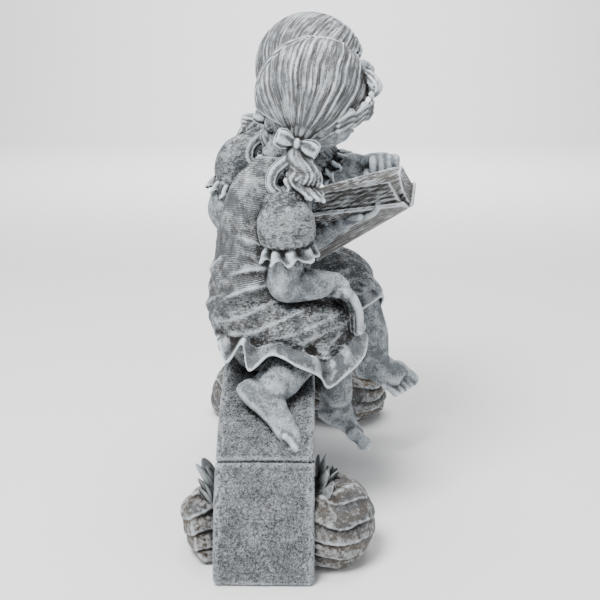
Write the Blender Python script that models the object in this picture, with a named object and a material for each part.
"""A garden statue cast in one piece: two girls sit on a low stone arch and read one open book.

The forms are worked up as a sculptor would: each limb, garment and stone is its own closed
shell of clay, the shells are pressed together into one body, and that body is thinned to
facets and cut flat underneath. X runs along the arch, the girls look towards -Y, Z is up,
and the origin is on the ground at the middle of the statue's footprint.
"""

import math

import bmesh
import bpy
import numpy as np

# The arch, in metres
ARCH_LENGTH = 0.428
ARCH_RISE = 0.138
ARCH_DEPTH = 0.0745
ARCH_FOOT = 0.060
ARCH_CROWN = 0.044
ARCH_EDGE = 0.004
JOINT_DEPTH = 0.0026
FOOT_BLOCK = 0.085

# The girls, in metres: how tall each sits over the arch, and where along it
NEAR_SITTING = 0.256
NEAR_SEAT_X = -0.070
FAR_SITTING = 0.279
FAR_SEAT_X = 0.064

# The book, in metres
BOOK_LENGTH = 0.082
PAGES_THICK = 0.020
COVER_THICK = 0.0035
COVER_LIP = 0.0025

# The clay: the grid that the shells are pressed into, and the facets kept
GRID = 0.0019
FACETS = 9800
BELOW_GROUND = 0.006

# How deep the locks of hair are cut, as a share of the head
LOCK_DEPTH = 0.11

# The girls are modelled in units of a 256th of their sitting height
SITTING_UNITS = 256.0


def spline(rows, count):
    """Rows spread along a smooth curve through the given rows. Radii may follow the places."""
    rows = np.array(rows, float)
    ends = np.vstack([2 * rows[0] - rows[1], rows, 2 * rows[-1] - rows[-2]])
    t = np.linspace(0, len(rows) - 1, count)
    i = np.minimum(t.astype(int), len(rows) - 2)
    f = (t - i)[:, None]
    a, b, c, d = (ends[i + k] for k in range(4))
    return 0.5 * (2 * b + (c - a) * f + (2 * a - 5 * b + 4 * c - d) * f**2 + (3 * b - a - 3 * c + d) * f**3)


def unit(v):
    v = np.array(v, float)
    return v / np.linalg.norm(v)


def skin_rings(rings, wrap=False):
    """Points and faces of a shell through rings of equal size, closed by a point at each end or back on itself."""
    count, sides = len(rings), len(rings[0])
    points = np.vstack(rings)
    faces = []
    for i in range(count if wrap else count - 1):
        for j in range(sides):
            k = (j + 1) % sides
            n = (i + 1) % count
            faces.append((i * sides + j, i * sides + k, n * sides + k, n * sides + j))
    if not wrap:
        points = np.vstack([points, rings[0].mean(0), rings[-1].mean(0)])
        first, last = count * sides, count * sides + 1
        for j in range(sides):
            k = (j + 1) % sides
            faces.append((first, k, j))
            faces.append((last, (count - 1) * sides + j, (count - 1) * sides + k))
    return points, faces


def ring_frames(centre, wide):
    """The two directions across a path at each of its points. wide leads the first of them."""
    tangent = np.gradient(centre, axis=0)
    tangent /= np.linalg.norm(tangent, axis=1)[:, None]
    side = np.array(wide, float) if wide is not None else np.cross(tangent[0], unit((0.3, 0.5, 0.81)))
    sides = []
    for t in tangent:
        flat = side - (side @ t) * t
        flat = unit(flat)
        sides.append(flat)
        if wide is None:
            side = flat
    sides = np.array(sides)
    return tangent, sides, np.cross(tangent, sides)


def tube(rows, sides=12, rings=14, flat=1.0, wide=None):
    """A round-ended tube through rows of x, y, z and radius. flat is its thickness as a share of its width."""
    path = spline(rows, rings)
    centre, radius = path[:, :3], np.maximum(path[:, 3], 1e-4)
    tangent, side, over = ring_frames(centre, wide)
    turn = np.arange(sides) * 2 * math.pi / sides
    made = []

    def ring(i, shift, shrink):
        across = np.cos(turn)[:, None] * side[i] + flat * np.sin(turn)[:, None] * over[i]
        return centre[i] + shift * tangent[i] + radius[i] * shrink * across

    for angle in (80, 55, 28):
        lean = math.radians(angle)
        made.append(ring(0, -radius[0] * flat * math.sin(lean), math.cos(lean)))
    made += [ring(i, 0.0, 1.0) for i in range(rings)]
    for angle in (28, 55, 80):
        lean = math.radians(angle)
        made.append(ring(rings - 1, radius[-1] * flat * math.sin(lean), math.cos(lean)))
    return skin_rings(made)


def ball(centre, radii, axes=None, sides=20, rings=12, shape=None):
    """An ellipsoid. axes are its own directions as rows; shape(directions) swells or sinks it."""
    axes = np.eye(3) if axes is None else np.array(axes, float)
    made = []
    for i in range(rings):
        up = math.pi * (i + 0.5) / rings
        turn = np.arange(sides) * 2 * math.pi / sides
        way = np.stack([np.sin(up) * np.cos(turn), np.sin(up) * np.sin(turn), np.full(sides, np.cos(up))], 1)
        swell = shape(way)[:, None] if shape else 1.0
        made.append(np.array(centre) + (way * np.array(radii) * swell) @ axes)
    return skin_rings(made)


class Clay:
    """Gathers closed shells, each turned to face outwards."""

    def __init__(self):
        self.points, self.faces, self.count = [], [], 0

    def add(self, shell, move=None):
        points, faces = shell
        if move is not None:
            points = move(points)
        corner = points[np.array([f[:3] for f in faces])]
        if np.einsum("ij,ij->", corner[:, 0], np.cross(corner[:, 1], corner[:, 2])) < 0:
            faces = [tuple(reversed(f)) for f in faces]
        self.points.append(points)
        self.faces += [tuple(k + self.count for k in f) for f in faces]
        self.count += len(points)

    def to_object(self, name):
        mesh = bpy.data.meshes.new(name)
        mesh.from_pydata(np.vstack(self.points).tolist(), [], self.faces)
        made = bpy.data.objects.new(name, mesh)
        bpy.context.scene.collection.objects.link(made)
        return made


# The arch


def arch_top(x):
    """Height of the arch's back at x."""
    return ARCH_RISE * math.sqrt(max(0.0, 1 - (2 * x / ARCH_LENGTH) ** 2))


def arch_arc(count=400):
    """Turn along the arch and the length along its back, from the near foot to the far one."""
    turn = np.linspace(0, math.pi, count)
    back = np.stack([-ARCH_LENGTH / 2 * np.cos(turn), ARCH_RISE * np.sin(turn)], 1)
    length = np.concatenate([[0], np.cumsum(np.linalg.norm(np.diff(back, axis=0), axis=1))])
    return turn, length


def joint_turns():
    """Where the joints between the arch's five blocks lie."""
    turn, length = arch_arc()
    middle = (length[-1] - 2 * FOOT_BLOCK) / 3
    places = [FOOT_BLOCK, FOOT_BLOCK + middle, FOOT_BLOCK + 2 * middle, FOOT_BLOCK + 3 * middle]
    return [float(np.interp(p, length, turn)) for p in places]


def arch_ring(turn, inset):
    """The arch's section at one turn: a rectangle with cut corners, from its inner curve to its back."""
    half = ARCH_LENGTH / 2
    out = np.array([-half * math.cos(turn), ARCH_RISE * math.sin(turn)])
    inner = np.array([-(half - ARCH_FOOT) * math.cos(turn), (ARCH_RISE - ARCH_CROWN) * math.sin(turn)])
    way = unit(out - inner)
    out, inner = out - way * inset, inner + way * inset
    deep = ARCH_DEPTH / 2 - inset
    corners = []
    for y, (far, near) in ((-deep, (out, inner)), (deep, (inner, out))):
        inward = math.copysign(ARCH_EDGE, -y)
        along = unit(near - far) * ARCH_EDGE
        first, second = far + along, near - along
        corners += [(far[0], y + inward, far[1]), (first[0], y, first[1])]
        corners += [(second[0], y, second[1]), (near[0], y + inward, near[1])]
    return np.array(corners)


def arch():
    """The arch as one shell, narrowed at each joint, running a little below the ground."""
    stations = [(t, 0.0) for t in np.linspace(0, math.pi, 41)]
    for joint in joint_turns():
        stations = [s for s in stations if abs(s[0] - joint) > 0.03]
        stations += [(joint - 0.012, 0.0), (joint, JOINT_DEPTH), (joint + 0.012, 0.0)]
    rings = [arch_ring(t, inset) for t, inset in sorted(stations)]
    sunk = np.array([0, 0, BELOW_GROUND])
    return skin_rings([rings[0] - sunk, *rings, rings[-1] - sunk])


# Rocks and leaves at the arch's feet


def rock(centre, radii, layers, seed, lean=0.0):
    """A boulder of stacked layers, each an uneven ring that steps in and out."""
    chance = np.random.default_rng(seed)
    sides = 14
    turn = np.arange(sides) * 2 * math.pi / sides
    uneven = 1 + chance.uniform(-0.12, 0.12, sides)
    rings = []
    for i in range(layers):
        for share, step in ((0.04, 0.89), (0.2, 1.02), (0.75, 1.04), (0.96, 0.92)):
            height = (i + share) / layers
            bulge = math.sqrt(max(0.05, 1 - (2 * height - 0.85) ** 2 * 0.82))
            uneven = uneven + chance.uniform(-0.035, 0.035, sides)
            wide = bulge * step * uneven
            rings.append(np.stack([
                centre[0] + radii[0] * wide * np.cos(turn),
                centre[1] + radii[1] * wide * np.sin(turn) + lean * height,
                np.full(sides, centre[2] + radii[2] * height) + chance.uniform(-0.0012, 0.0012, sides),
            ], 1))
    return skin_rings(rings)


def leaf(root, way, length, width, droop):
    """A fleshy leaf that rises from its root and bends outwards."""
    root, way = np.array(root), unit(way)
    out = unit((way[0], way[1], 0.0001))
    rows = []
    for share, wide in ((0, 0.5), (0.35, 0.95), (0.7, 1.0), (1.0, 0.45)):
        place = root + way * length * share + out * droop * share**2
        rows.append((*place, width / 2 * wide))
    return tube(rows, sides=8, rings=7, flat=0.42, wide=np.cross(way, out + np.array((0, 0, 0.4))))


def rocks_and_leaves(clay):
    face = ARCH_DEPTH / 2
    foot = ARCH_LENGTH / 2
    low = -BELOW_GROUND
    boulders = (
        ((-foot + 0.060, -face - 0.010, low), (0.042, 0.034, 0.078), 4, 3, 0.0),
        ((-foot + 0.052, face + 0.009, low), (0.036, 0.023, 0.060), 3, 5, 0.0),
        ((foot - 0.064, -face - 0.030, low), (0.042, 0.040, 0.062), 3, 8, 0.0),
        ((foot - 0.054, face + 0.012, low), (0.038, 0.023, 0.052), 3, 13, 0.0),
    )
    for centre, radii, layers, seed, lean in boulders:
        clay.add(rock(centre, radii, layers, seed, lean))
    clumps = (
        ((-foot + 0.048, -face - 0.006, 0.062), -1, 9, 0.036),
        ((-foot + 0.054, face + 0.004, 0.044), 1, 7, 0.038),
        ((foot - 0.070, -face - 0.016, 0.050), -1, 9, 0.030),
        ((foot - 0.050, face + 0.004, 0.040), 1, 7, 0.034),
    )
    for (x, y, z), outward, count, length in clumps:
        for i in range(count):
            share = i / (count - 1) - 0.5
            row = i % 3
            way = (share * 1.3, outward * (0.02 + 0.30 * row), 1.0)
            size = length * (1 - 0.3 * abs(share) - 0.16 * row)
            root = (x + share * 0.044, y + outward * 0.006 * row, z - 0.010 - 0.003 * row)
            clay.add(leaf(root, way, size, 0.0095, 0.003))


# The girls


class Girl:
    """One seated girl, modelled in her own units: x to her left, y backwards, z up from the seat."""

    def __init__(self, clay, seat_x, sitting, pose):
        self.clay, self.pose = clay, pose
        self.scale = sitting / SITTING_UNITS
        self.seat = np.array((seat_x, 0.0, arch_top(seat_x)))
        self.head_axes = self.turned(*pose["head_turn"])

    @staticmethod
    def turned(yaw, pitch, roll):
        """Right, forward and up of a head that looks aside, nods and leans, in degrees."""
        yaw, pitch, roll = (math.radians(a) for a in (yaw, pitch, roll))
        flat = np.array((math.sin(yaw), -math.cos(yaw), 0.0))
        forward = flat * math.cos(pitch) - np.array((0, 0, math.sin(pitch)))
        up = flat * math.sin(pitch) + np.array((0, 0, math.cos(pitch)))
        right = np.cross(forward, up)
        return np.array([
            right * math.cos(roll) - up * math.sin(roll),
            forward,
            up * math.cos(roll) + right * math.sin(roll),
        ])

    def press(self, shell):
        self.clay.add(shell, lambda points: self.seat + points * self.scale)

    def press_head(self, shell):
        head = np.array(self.pose["head"], float)
        self.clay.add(shell, lambda points: self.seat + (head + points @ self.head_axes) * self.scale)

    def build(self):
        self.torso()
        self.skirt()
        for side in ("right", "left"):
            self.arm(side)
            self.leg(side)
        self.neck()
        self.face()
        self.hair()

    def torso(self):
        turn = np.arange(28) * 2 * math.pi / 28
        rings = []
        for y, z, wide, deep, twist in spline(self.pose["torso"], 16):
            x = wide * np.cos(turn)
            across = deep * np.sin(turn)
            lean = math.radians(twist)
            rings.append(np.stack([
                x * math.cos(lean) - across * math.sin(lean),
                y + x * math.sin(lean) + across * math.cos(lean),
                np.full(len(turn), z),
            ], 1))
        self.press(skin_rings(rings))
        self.folds(np.array(rings), self.pose["torso_folds"])

    def skirt(self):
        """The skirt lies over both thighs, drops at the sides and ends in a waved, flaring hem."""
        turn = np.arange(72) * 2 * math.pi / 72
        hem = self.pose["hem"]
        rings = []
        for back, front, wide, z, wave, flare in self.pose["skirt"]:
            middle, deep = (back + front) / 2, (back - front) / 2
            square = 0.86
            c, s = np.cos(turn), np.sin(turn)
            x = wide * np.sign(c) * np.abs(c) ** square
            y = middle + deep * np.sign(s) * np.abs(s) ** square
            ruffle = wave * np.sin(hem["waves"] * turn + hem["phase"])
            out = flare * np.cos(hem["waves"] * turn + hem["phase"] + 0.6)
            x, y = x + out * c, y + out * s
            in_front = np.clip(-(y + 15) / 40, 0, 1)
            valley = in_front * np.exp(-((x / 15) ** 2))
            y = y + 6 * valley * np.clip((40 - z) / 20, 0, 1)
            sag = np.clip((24 - z) / 16, 0, 1)
            fall = np.interp(np.degrees(turn), *zip(*hem["falls"]), period=360)
            x = x + hem["shift"] * np.clip((40 - z) / 24, 0, 1)
            height = z - 4.5 * valley + ruffle + sag * fall
            rings.append(np.stack([x, y, height], 1))
        self.press(skin_rings(rings))
        self.folds(np.array(rings), self.pose["skirt_folds"])

    def folds(self, rings, folds):
        """Raised folds that run over a ringed surface. Each is rows of turn in degrees, ring and thickness."""
        sides = rings.shape[1]
        for rows in folds:
            path = []
            for degrees, level, thick in spline(rows, 5 * len(rows)):
                place = (degrees % 360) / 360 * sides
                i, j = int(level), int(place)
                f, g = level - i, place - j
                near, far = rings[min(i, len(rings) - 1)], rings[min(i + 1, len(rings) - 1)]
                here = near[j % sides] * (1 - g) + near[(j + 1) % sides] * g
                there = far[j % sides] * (1 - g) + far[(j + 1) % sides] * g
                path.append((*(here * (1 - f) + there * f), thick))
            self.press(tube(path, sides=8, rings=2 * len(path)))

    def neck(self):
        head = np.array(self.pose["head"], float)
        base = np.array(self.pose["neck"], float)
        self.press(tube([(*base, 15), (*((head + base) / 2), 14), (*head, 15)], sides=14))
        self.press(tube(
            [(base[0] + 19 * math.sin(a), base[1] + 4 + 18 * math.cos(a), base[2] - 3 - 5 * math.cos(a), 2.4)
             for a in np.linspace(-3.1, 3.1, 13)], sides=8, rings=36))

    def face(self):
        """A calm child's face on plain proportions: brow, lowered lids, small nose, lips, round cheeks."""
        self.press_head(ball((0, 4, -7), (34, 33.5, 38), sides=26, rings=18))
        self.press_head(ball((0, 8, 10), (32, 32.5, 22), sides=22, rings=16))
        self.press_head(ball((0, 14, -24), (24, 21.5, 20)))
        self.press_head(ball((0, 28, -34), (9, 8, 8)))
        for side in (-1, 1):
            self.press_head(ball((side * 15.5, 22, -17), (13.5, 14, 12.5)))
            self.press_head(ball((side * 12.5, 30.5, -2.5), (7.6, 6.6, 5)))
            self.press_head(ball((side * 3.8, 38.5, -13.5), (3.0, 3.0, 2.6), sides=10, rings=8))
        self.press_head(tube([(0, 35, 3, 2.4), (0, 38.5, -5, 2.9), (0, 41, -11.5, 3.9)], sides=10, rings=10))
        self.press_head(tube(
            [(-8, 33, -23, 1.2), (-3, 36.8, -21.6, 2.2), (0, 37, -22.2, 2.0), (3, 36.8, -21.6, 2.2), (8, 33, -23, 1.2)],
            sides=8, rings=12, flat=0.8, wide=(0, 0, 1)))
        self.press_head(tube(
            [(-6.5, 33, -25, 1.2), (0, 36.6, -26.6, 2.7), (6.5, 33, -25, 1.2)], sides=8, rings=10))

    def hair(self):
        """Hair combed from a middle parting to a low tie at each side, cut into strands."""
        tie = unit(self.pose["tie"])
        strands = self.pose["strands"]

        def shape(way):
            side = np.sign(way[:, 0] + 1e-9)
            pole = tie * np.stack([side, np.ones_like(side), np.ones_like(side)], 1)
            level = unit((0, 0.35, 1.0))
            first = level - (pole @ level)[:, None] * pole
            first /= np.linalg.norm(first, axis=1)[:, None]
            second = np.cross(pole, first)
            around = np.arctan2(np.einsum("ij,ij->i", way, second), np.einsum("ij,ij->i", way, first))
            near = np.clip(1 - np.einsum("ij,ij->i", way, pole), 0, 1)
            groove = np.abs(np.sin(around * strands / 2 + 0.6 * np.sin(3 * around))) ** 0.7
            parting = np.exp(-((way[:, 0] / 0.05) ** 2)) * np.clip(way[:, 2] + 0.55, 0, 1)
            swell = 1 + LOCK_DEPTH * (groove - 0.6) * np.clip(near * 2.2, 0, 1) - 0.05 * parting
            bared = np.clip((way[:, 1] - 0.30 - 0.55 * np.clip(way[:, 2] + 0.15, -1, 0.9)) / 0.12, 0, 1)
            under = np.clip((-way[:, 2] - 0.62) / 0.12, 0, 1)
            return swell * (1 - 0.26 * np.maximum(bared, under))

        self.press_head(ball((0, 0, 0), (41, 46, 45), sides=132, rings=66, shape=shape))
        for side in (-1, 1):
            self.bunch(side)
        for curl in self.pose["curls"]:
            self.press_head(tube(curl, sides=8, rings=14))

    def bunch(self, side):
        """The gathered hair at one side: the drawn-in root, the ribbon bow and the curling tail."""
        tie = unit(self.pose["tie"]) * (side, 1, 1) * self.pose["tie_out"]
        root = tie * 0.55
        self.press_head(tube([(*root, 25), (*(tie * 0.82), 15), (*tie, 7.5)], sides=20, rings=10))
        place = np.array(self.pose["head"], float) + tie @ self.head_axes
        self.bow(place, side)
        for rows in self.pose["tail"]:
            self.press(tube([(place[0] - side * x, place[1] + y, place[2] + z, r) for x, y, z, r in rows],
                            sides=10, rings=16, flat=0.75))

    def bow(self, place, side):
        for way in (-1, 1):
            loop = []
            for angle in np.linspace(-1.0, 1.0, 9):
                a = angle * math.pi
                reach = 9.5 * (1 + math.cos(a))
                loop.append((place[0] - side * (5 + 3.0 * math.cos(a)),
                             place[1] - way * reach,
                             place[2] + 6.5 * math.sin(a) - way * 0.22 * reach + 1.5, 4.2))
            self.press(tube(loop, sides=8, rings=22, flat=0.36, wide=(1, 0, 0.2)))
        self.press(ball((place[0] - side * 5, place[1], place[2] + 1), (4.6, 4.0, 5.0)))

    def arm(self, side):
        arm = self.pose[side + "_arm"]
        shoulder, cuff, elbow, wrist = (np.array(arm[k], float) for k in ("shoulder", "cuff", "elbow", "wrist"))
        puff = arm["puff"]
        middle = (shoulder + cuff) / 2 + np.array(arm["out"])
        rows = [(*shoulder, puff * 0.62), (*((shoulder + middle) / 2), puff * 0.95), (*middle, puff * 1.02),
                (*((middle + cuff) / 2), puff * 0.96), (*cuff, puff * 0.66)]
        self.press(tube(rows, sides=22, rings=16))
        self.frill(cuff, unit(cuff - middle), puff * 0.62, puff * 1.05)
        self.press(tube([(*cuff, 14.2), (*elbow, 14), (*((elbow + wrist) / 2), 12), (*wrist, 8.6)],
                        sides=16, rings=16))
        self.hand(**arm["hand"], wrist=wrist)

    def frill(self, centre, axis, inner, outer):
        """A waved cuff that stands out round the arm."""
        first = unit(np.cross(axis, (0.2, 0.3, 0.9)))
        second = np.cross(axis, first)
        rings = []
        for turn in np.arange(60) * 2 * math.pi / 60:
            out = math.cos(turn) * first + math.sin(turn) * second
            wave = math.sin(9 * turn)
            reach = outer + 1.6 * math.cos(9 * turn + 0.8)
            edge = centre + out * reach + axis * (4.0 + 2.6 * wave)
            root = centre + out * inner - axis * 1.0
            rings.append(np.array([root - axis * 1.8, (root + edge) / 2 - axis * 1.5 + out, edge - axis * 1.5,
                                   edge + axis * 1.5, (root + edge) / 2 + axis * 1.5, root + axis * 1.8]))
        self.press(skin_rings(rings, wrap=True))

    def hand(self, wrist, knuckles, fingers, thumb, spread, size=1.0):
        """A palm from the wrist to the knuckles, four fingers that follow their bends, and a thumb."""
        knuckles, spread = np.array(knuckles, float), unit(spread)
        palm = [(*wrist, 7.4 * size), (*((wrist + knuckles) / 2), 9.2 * size), (*knuckles, 8.6 * size)]
        self.press(tube(palm, sides=12, rings=10, flat=0.62, wide=spread))
        for i in range(4):
            shift = spread * (i - 1.5) * 4.6 * size
            length = (0.9, 1.0, 0.97, 0.82)[i]
            rows = [(*(knuckles + shift * 0.9), 3.5 * size)]
            for bend in fingers:
                rows.append((*(knuckles + shift + np.array(bend, float) * length), 2.9 * size))
            self.press(tube(rows, sides=8, rings=10))
        self.press(tube([(*(wrist * 0.6 + knuckles * 0.4), 4.2 * size), *((*np.array(t, float), 3.1 * size) for t in thumb)],
                        sides=8, rings=9))

    def leg(self, side):
        leg = self.pose[side + "_leg"]
        hip, knee, ankle = (np.array(leg[k], float) for k in ("hip", "knee", "ankle"))
        self.press(tube([(*hip, 24), (*((hip + knee) / 2), 24), (*knee, 20)], sides=18, rings=12))
        calf = knee * 0.55 + ankle * 0.45 + np.array(leg["calf"])
        self.press(tube([(*knee, 18), (*calf, 18), (*ankle, 12)], sides=16, rings=14))
        self.foot(ankle, **leg["foot"])

    def foot(self, ankle, heel, ball_of_foot, toe, spread, out=1):
        """Heel, instep and ball in one form, and five toes, the big one at the inner side."""
        heel, front, toe, spread = (np.array(v, float) for v in (heel, ball_of_foot, toe, unit(spread)))
        self.press(tube([(*ankle, 12), (*(ankle * 0.45 + front * 0.55), 11.5), (*front, 8.5)],
                        sides=14, rings=10, flat=0.85, wide=spread))
        self.press(tube([(*ankle, 11.5), (*heel, 11)], sides=14, rings=6))
        self.press(tube([(*heel, 10.6), (*(heel * 0.5 + front * 0.5), 11), (*front, 12.6)],
                        sides=14, rings=10, flat=0.62, wide=spread))
        along = unit(toe - front)
        reach = np.linalg.norm(toe - front)
        for i in range(5):
            place = front + spread * (i - 1.8) * 5.3 * out
            thick = (4.8, 3.7, 3.5, 3.3, 3.0)[i]
            length = reach * (1.0, 1.0, 0.9, 0.78, 0.62)[i]
            tip = place + along * length + spread * out * (i - 1.9) * 0.5
            self.press(tube([(*(place - along * 3), thick), (*((place + tip) / 2), thick * 0.92), (*tip, thick)],
                            sides=8, rings=8))


TORSO = ((4, 6, 48, 32, 0), (6, 23, 50, 37, 0), (8, 50, 48, 41, 0), (6, 78, 43, 40, 0), (3, 108, 40, 37, 0),
         (0, 131, 39, 35, 0), (-3, 147, 36, 31, 0), (-6, 158, 28, 23, 0), (-8, 167, 17, 16, 0))

SKIRT = ((44, -34, 40, 66, 0, 0), (48, -44, 46, 55, 0, 0), (49, -60, 51, 51, 0, 0.4), (49, -68, 53, 44, 0, 0.8),
         (48, -72, 54, 32, 0, 1.2), (45, -74, 55, 20, 1.0, 2.2), (40, -77, 57, 9, 3.0, 3.2), (37, -81, 60, 3, 4.8, 4.2),
         (35, -79, 58, 0, 4.8, 4.2), (34, -72, 52, 6, 2.4, 2.2), (36, -66, 48, 11, 0, 0), (16, -30, 16, 13, 0, 0))

SKIRT_FOLDS = (
    ((232, 4.2, 3.0), (215, 4.6, 4.2), (195, 4.8, 4.0), (172, 4.4, 2.6)),
    ((234, 3.0, 3.0), (216, 3.6, 4.0), (196, 3.8, 3.6), (176, 3.2, 2.2)),
    ((236, 5.0, 3.0), (222, 5.6, 4.4), (206, 6.2, 4.6), (196, 7.0, 3.2)),
    ((214, 2.2, 2.4), (200, 2.8, 3.4), (184, 3.0, 3.0), (166, 2.2, 2.0)),
    ((308, 4.2, 3.0), (325, 4.6, 4.2), (345, 4.8, 4.0), (368, 4.4, 2.6)),
    ((306, 3.0, 3.0), (324, 3.6, 4.0), (344, 3.8, 3.6), (364, 3.2, 2.2)),
    ((304, 5.0, 3.0), (318, 5.6, 4.4), (334, 6.2, 4.6), (344, 7.0, 3.2)),
    ((244, 1.6, 2.4), (250, 2.6, 3.6), (252, 4.0, 3.6), (248, 5.4, 2.6)),
    ((296, 1.6, 2.4), (290, 2.6, 3.6), (288, 4.0, 3.6), (292, 5.4, 2.6)),
)

TORSO_FOLDS = (
    ((168, 9.6, 2.2), (140, 8.4, 3.2), (112, 7.2, 3.2), (92, 6.0, 2.2)),
    ((178, 8.2, 2.2), (156, 6.8, 3.4), (132, 5.4, 3.4), (110, 4.2, 2.2)),
    ((192, 7.0, 2.2), (174, 5.4, 3.2), (152, 4.0, 3.2), (130, 3.0, 2.0)),
    ((372, 9.6, 2.2), (400, 8.4, 3.2), (428, 7.2, 3.2), (448, 6.0, 2.2)),
    ((362, 8.2, 2.2), (384, 6.8, 3.4), (408, 5.4, 3.4), (430, 4.2, 2.2)),
    ((348, 7.0, 2.2), (366, 5.4, 3.2), (388, 4.0, 3.2), (410, 3.0, 2.0)),
)

TAIL = (
    ((3, 0, -2, 7), (9, 1, -10, 10), (13, -2, -20, 10.5), (14, -5, -30, 9), (14, -6, -40, 7.5), (14, -7, -46, 4)),
    ((6, 6, -10, 6), (11, 14, -16, 6), (13, 18, -24, 5.5), (13, 14, -31, 5), (14, 8, -30, 4.2), (15, 8, -25, 3)),
    ((6, -6, -18, 6), (13, -12, -28, 6), (14, -15, -38, 5.5), (14, -17, -46, 3.5)),
    ((10, 0, -30, 5), (15, 2, -40, 5), (15, 0, -46, 4), (14, -4, -50, 3)),
)

NEAR_POSE = {
    "torso": TORSO,
    "skirt": SKIRT,
    "torso_folds": TORSO_FOLDS,
    "skirt_folds": SKIRT_FOLDS,
    "hem": {"waves": 9, "phase": 0.4, "shift": -9.0,
            "falls": ((40, 4), (90, 8), (130, 7), (165, 0), (185, -7), (203, -17), (222, -6), (243, 8), (262, 0),
                      (285, -12), (320, -12), (350, -6))},
    "neck": (-1, -9, 163),
    "head": (0, -35, 213),
    "head_turn": (24, 24, 12),
    "tie": (0.64, -0.14, -0.75),
    "tie_out": 50,
    "strands": 18,
    "tail": TAIL,
    "curls": (
        ((8, 43, 12, 3), (6, 49, 14, 3.2), (2, 51, 10, 2.8), (4, 47, 6, 2.2)),
        ((24, 34, 8, 3.4), (28, 31, 1, 3), (29, 26, -6, 2.8), (31, 22, -12, 2)),
        ((14, 40, 10, 3), (20, 37, 4, 3), (24, 31, -1, 2.6), (27, 27, -7, 2)),
    ),
    "right_arm": {
        "shoulder": (-40, -14, 146), "cuff": (-43, -16, 99), "elbow": (-44, -14, 74), "wrist": (-30, -57, 71),
        "puff": 22, "out": (-4, 0, 0),
        "hand": {"knuckles": (-20, -67, 60), "fingers": ((6, -5, -10), (9, -5, -20), (11, -4, -29)),
                 "thumb": ((-27, -70, 58), (-24, -76, 48)), "spread": (0.25, 1, 0.35)},
    },
    "left_arm": {
        "shoulder": (38, -14, 146), "cuff": (46, -26, 110), "elbow": (44, -30, 88), "wrist": (42, -58, 93),
        "puff": 20, "out": (2, 0, 0),
        "hand": {"knuckles": (42, -74, 99), "fingers": ((-4, -8, 3), (-9, -14, 8), (-12, -18, 11)),
                 "thumb": ((30, -74, 106), (24, -80, 112)), "spread": (0.9, 0.2, 0.2)},
    },
    "right_leg": {
        "hip": (-24, 2, 30), "knee": (-28, -49, 27), "ankle": (-62, -6, -2), "calf": (-2, 2, 2),
        "foot": {"heel": (-58, 11, -10), "ball_of_foot": (-84, -13, -30), "toe": (-94, -26, -42),
                 "spread": (0.55, 0.55, -0.6), "out": 1},
    },
    "left_leg": {
        "hip": (20, 2, 30), "knee": (22, -50, 22), "ankle": (25, -58, -42), "calf": (0, 4, 0),
        "foot": {"heel": (25, -50, -57), "ball_of_foot": (26, -72, -73), "toe": (26, -86, -85),
                 "spread": (1, 0, 0), "out": 1},
    },
}

FAR_POSE = {
    "torso": tuple((y + shift, z, wide, deep, twist) for (y, z, wide, deep, _), shift, twist in
                   zip(TORSO, (0, 0, 0, 2, 4, 6, 7, 7, 5), (0, 0, -2, -5, -9, -13, -16, -16, -16))),
    "skirt": tuple((back, front - 14 * min(1.0, max(0.0, (70 - z) / 20)), wide * 0.9, z, wave, flare)
                   for back, front, wide, z, wave, flare in SKIRT),
    "torso_folds": TORSO_FOLDS,
    "skirt_folds": SKIRT_FOLDS,
    "hem": {"waves": 9, "phase": 1.5, "shift": 0.0,
            "falls": ((20, -4), (60, 4), (90, 8), (130, 7), (180, 2), (215, 4), (240, 14), (262, 2), (285, 6), (330, -8))},
    "neck": (-1, 0, 165),
    "head": (0, -30, 209),
    "head_turn": (-14, 20, 0),
    "tie": (0.62, -0.30, -0.73),
    "tie_out": 50,
    "strands": 18,
    "tail": tuple(tuple((x, y + 14, z, r) for x, y, z, r in lock) for lock in TAIL),
    "curls": (
        ((6, 42, 18, 3.4), (2, 45, 15, 3.4), (-3, 45, 10, 2.8), (1, 42, 7, 2.2)),
        ((16, 39, 16, 3.2), (21, 36, 8, 3), (26, 30, 2, 2.8), (29, 25, -6, 2)),
        ((-14, 39, 16, 3.2), (-21, 36, 8, 3), (-26, 30, 2, 2.8), (-29, 25, -6, 2)),
    ),
    "right_arm": {
        "shoulder": (-36, 16, 152), "cuff": (-34, 42, 122), "elbow": (-36, 48, 98), "wrist": (-46, 24, 68),
        "puff": 18, "out": (-2, 5, 3),
        "hand": {"knuckles": (-44, 8, 58), "fingers": ((1, -9, -4), (2, -16, -9), (2, -21, -13)),
                 "thumb": ((-36, 8, 60), (-32, 0, 58)), "spread": (1, 0.1, 0.2)},
    },
    "left_arm": {
        "shoulder": (36, -6, 150), "cuff": (39, -46, 126), "elbow": (38, -56, 120), "wrist": (24, -80, 128),
        "puff": 18, "out": (3, 0, 2),
        "hand": {"knuckles": (16, -93, 132), "fingers": ((-8, 0, 1), (-13, 0, -4), (-14, 0, -12)),
                 "thumb": ((14, -80, 122), (4, -80, 120)), "spread": (0.1, -1, 0.05), "size": 1.3},
    },
    "right_leg": {
        "hip": (-22, 2, 28), "knee": (-24, -70, 24), "ankle": (-25, -84, -26), "calf": (0, 0, 0),
        "foot": {"heel": (-23, -78, -38), "ball_of_foot": (-34, -102, -46), "toe": (-38, -116, -55),
                 "spread": (-0.8, 0.4, -0.35), "out": 1},
    },
    "left_leg": {
        "hip": (20, 2, 28), "knee": (20, -68, 24), "ankle": (20, -80, -32), "calf": (0, 0, 0),
        "foot": {"heel": (20, -73, -46), "ball_of_foot": (24, -96, -58), "toe": (26, -109, -67),
                 "spread": (0.9, 0.2, -0.1), "out": 1},
    },
}


# The book


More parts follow.
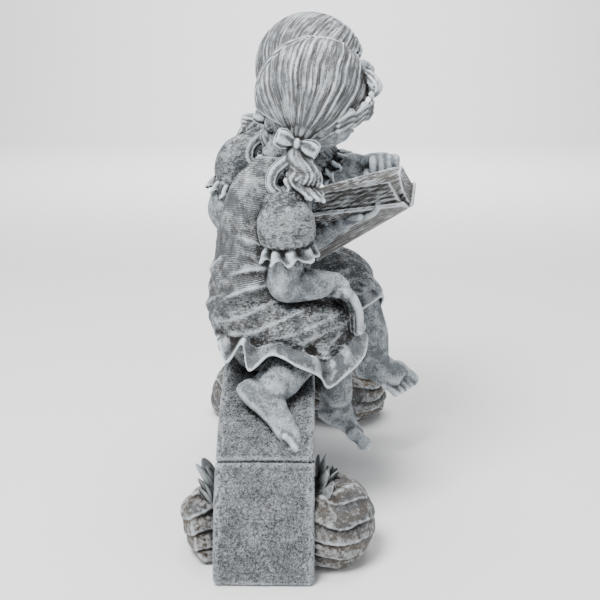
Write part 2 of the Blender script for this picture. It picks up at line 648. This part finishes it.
def book(clay):
    """An open book held over the laps: two curved page blocks over a folded cover."""
    lap = arch_top((NEAR_SEAT_X + FAR_SEAT_X) / 2)
    tail = np.array((0.010, -0.040, lap + 0.070))
    along = unit((0.02, -0.88, 0.42))
    halves = (((-0.052, 0.008, 0.038), -0.028), ((0.047, -0.006, 0.034), -0.026))
    for half, settle in halves:
        rings, covers = [], []
        for share in np.linspace(0, 1, 9):
            spine = tail + along * BOOK_LENGTH * share
            out = np.array(half) + np.array((0, 0, settle * share))
            over = unit(np.cross(out, along))
            over = over if over[2] > 0 else -over
            below = [spine + out * s for s in np.linspace(0.0, 0.97, 10)]
            rise = [0.62 + 0.55 * math.sin(min(1, s * 1.7) * math.pi / 2) - 0.17 * s for s in np.linspace(0, 1, 10)]
            above = [b + over * PAGES_THICK * r for b, r in zip(below, rise)]
            rings.append(np.array(below + above[::-1]))
            edge = spine + out * (1 + COVER_LIP / np.linalg.norm(out))
            base = [spine - out * 0.03, (spine + edge) / 2, edge]
            covers.append(np.array(base + [b - over * COVER_THICK for b in base[::-1]]))
        clay.add(skin_rings(rings))
        stretch = along * COVER_LIP
        covers = [covers[0] - stretch, *covers, covers[-1] + stretch]
        clay.add(skin_rings(covers))


# From clay to one solid


def press_together(made):
    """One skin round all the shells, thinned to facets."""
    remesh = made.modifiers.new("press", "REMESH")
    remesh.mode = "VOXEL"
    remesh.voxel_size = GRID
    remesh.adaptivity = 0.0
    smooth = made.modifiers.new("smooth", "SMOOTH")
    smooth.factor = 0.5
    smooth.iterations = 1
    bpy.context.view_layer.objects.active = made
    made.select_set(True)
    for name in ("press", "smooth"):
        bpy.ops.object.modifier_apply(modifier=name)
    thin = made.modifiers.new("thin", "DECIMATE")
    thin.ratio = FACETS / (2 * len(made.data.polygons))
    bpy.ops.object.modifier_apply(modifier="thin")


def true_up(made):
    """The arch's front and back made truly flat where the press left them near enough."""
    count = len(made.data.vertices)
    place = np.empty(3 * count)
    made.data.vertices.foreach_get("co", place)
    place = place.reshape(-1, 3)
    half, foot = ARCH_LENGTH / 2, ARCH_FOOT
    outer = (place[:, 0] / half) ** 2 + (np.maximum(place[:, 2], 0) / ARCH_RISE) ** 2
    inner = (place[:, 0] / (half - foot)) ** 2 + (np.maximum(place[:, 2], 0) / (ARCH_RISE - ARCH_CROWN)) ** 2
    close = np.abs(np.abs(place[:, 1]) - ARCH_DEPTH / 2) < GRID / 3
    face = close & (outer < 0.93) & (inner > 1.1)
    place[face, 1] = np.sign(place[face, 1]) * ARCH_DEPTH / 2
    made.data.vertices.foreach_set("co", place.ravel())
    made.data.update()


def cut_flat(made):
    """The underside, cut level with the ground and closed."""
    body = bmesh.new()
    body.from_mesh(made.data)
    everything = body.verts[:] + body.edges[:] + body.faces[:]
    cut = bmesh.ops.bisect_plane(body, geom=everything, plane_co=(0, 0, 0), plane_no=(0, 0, 1), clear_inner=True)
    rim = [e for e in cut["geom_cut"] if isinstance(e, bmesh.types.BMEdge)]
    bmesh.ops.triangle_fill(body, edges=rim, use_beauty=True)
    bmesh.ops.triangulate(body, faces=body.faces[:])
    bmesh.ops.recalc_face_normals(body, faces=body.faces[:])
    body.to_mesh(made.data)
    body.free()


def stand_on_origin(made):
    """The middle of the statue's footprint put on the origin."""
    low = np.min([v.co for v in made.data.vertices], axis=0)
    high = np.max([v.co for v in made.data.vertices], axis=0)
    middle = (low + high) / 2
    for v in made.data.vertices:
        v.co.x -= middle[0]
        v.co.y -= middle[1]


def stone():
    material = bpy.data.materials.new("weathered_stone")
    material.use_nodes = True
    shader = material.node_tree.nodes["Principled BSDF"]
    shader.inputs["Base Color"].default_value = (0.22, 0.23, 0.24, 1)
    shader.inputs["Roughness"].default_value = 0.8
    shader.inputs["Metallic"].default_value = 0.0
    return material


def main():
    for old in list(bpy.data.objects):
        bpy.data.objects.remove(old)
    clay = Clay()
    clay.add(arch())
    rocks_and_leaves(clay)
    Girl(clay, NEAR_SEAT_X, NEAR_SITTING, NEAR_POSE).build()
    Girl(clay, FAR_SEAT_X, FAR_SITTING, FAR_POSE).build()
    book(clay)
    statue = clay.to_object("reading_children")
    press_together(statue)
    true_up(statue)
    cut_flat(statue)
    stand_on_origin(statue)
    statue.data.materials.append(stone())
    statue.data.shade_smooth()
    statue.data.set_sharp_from_angle(angle=math.radians(40))


main()
